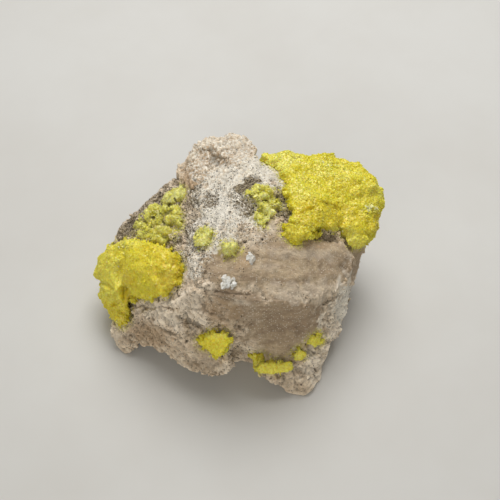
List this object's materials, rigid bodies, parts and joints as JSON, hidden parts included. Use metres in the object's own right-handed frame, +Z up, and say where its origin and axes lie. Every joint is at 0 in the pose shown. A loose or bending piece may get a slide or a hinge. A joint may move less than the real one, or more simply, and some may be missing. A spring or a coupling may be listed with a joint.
{
  "type": "native sulfur crystal specimen",
  "caption": "Loose lump of pale stone matrix carrying sugary crusts, knobs and beads of yellow native sulfur crystals and small clear crystals.",
  "frame": {"origin": "centre of the bounding box at the plane that the stone rests on", "axes": "+X along the length of the lump, to the right as it is shown; +Y away from the show face; +Z up"},
  "size_m": [0.0708, 0.0558, 0.0372],
  "materials": {
    "stone": "rough matte stone, powdery white and taupe",
    "sulfur": "sugary lemon-yellow crystals with a resinous gloss",
    "sulfur_golden": "sugary golden-yellow crystals with a resinous gloss",
    "sulfur_pale": "pale greenish-yellow crystals, partly dusty",
    "clear_crystal": "clear to milky crystal"
  },
  "bodies": {
    "root": {"matrix": "stone", "sulfur_crust_right": "sulfur", "sulfur_crust_left": "sulfur_golden", "sulfur_cluster_upper_left": "sulfur_pale", "sulfur_cap_upper_left": "sulfur_pale", "sulfur_cluster_centre": "sulfur_pale", "sulfur_bead_upper": "sulfur_pale", "sulfur_bead_lower": "sulfur_pale", "sulfur_wedge_front": "sulfur", "sulfur_strip_front": "sulfur", "sulfur_spot_front": "sulfur", "sulfur_spot_right": "sulfur", "clear_crystal_upper": "clear_crystal", "clear_crystal_lower": "clear_crystal", "clear_crystal_small": "clear_crystal"}
  },
  "joints": []
}
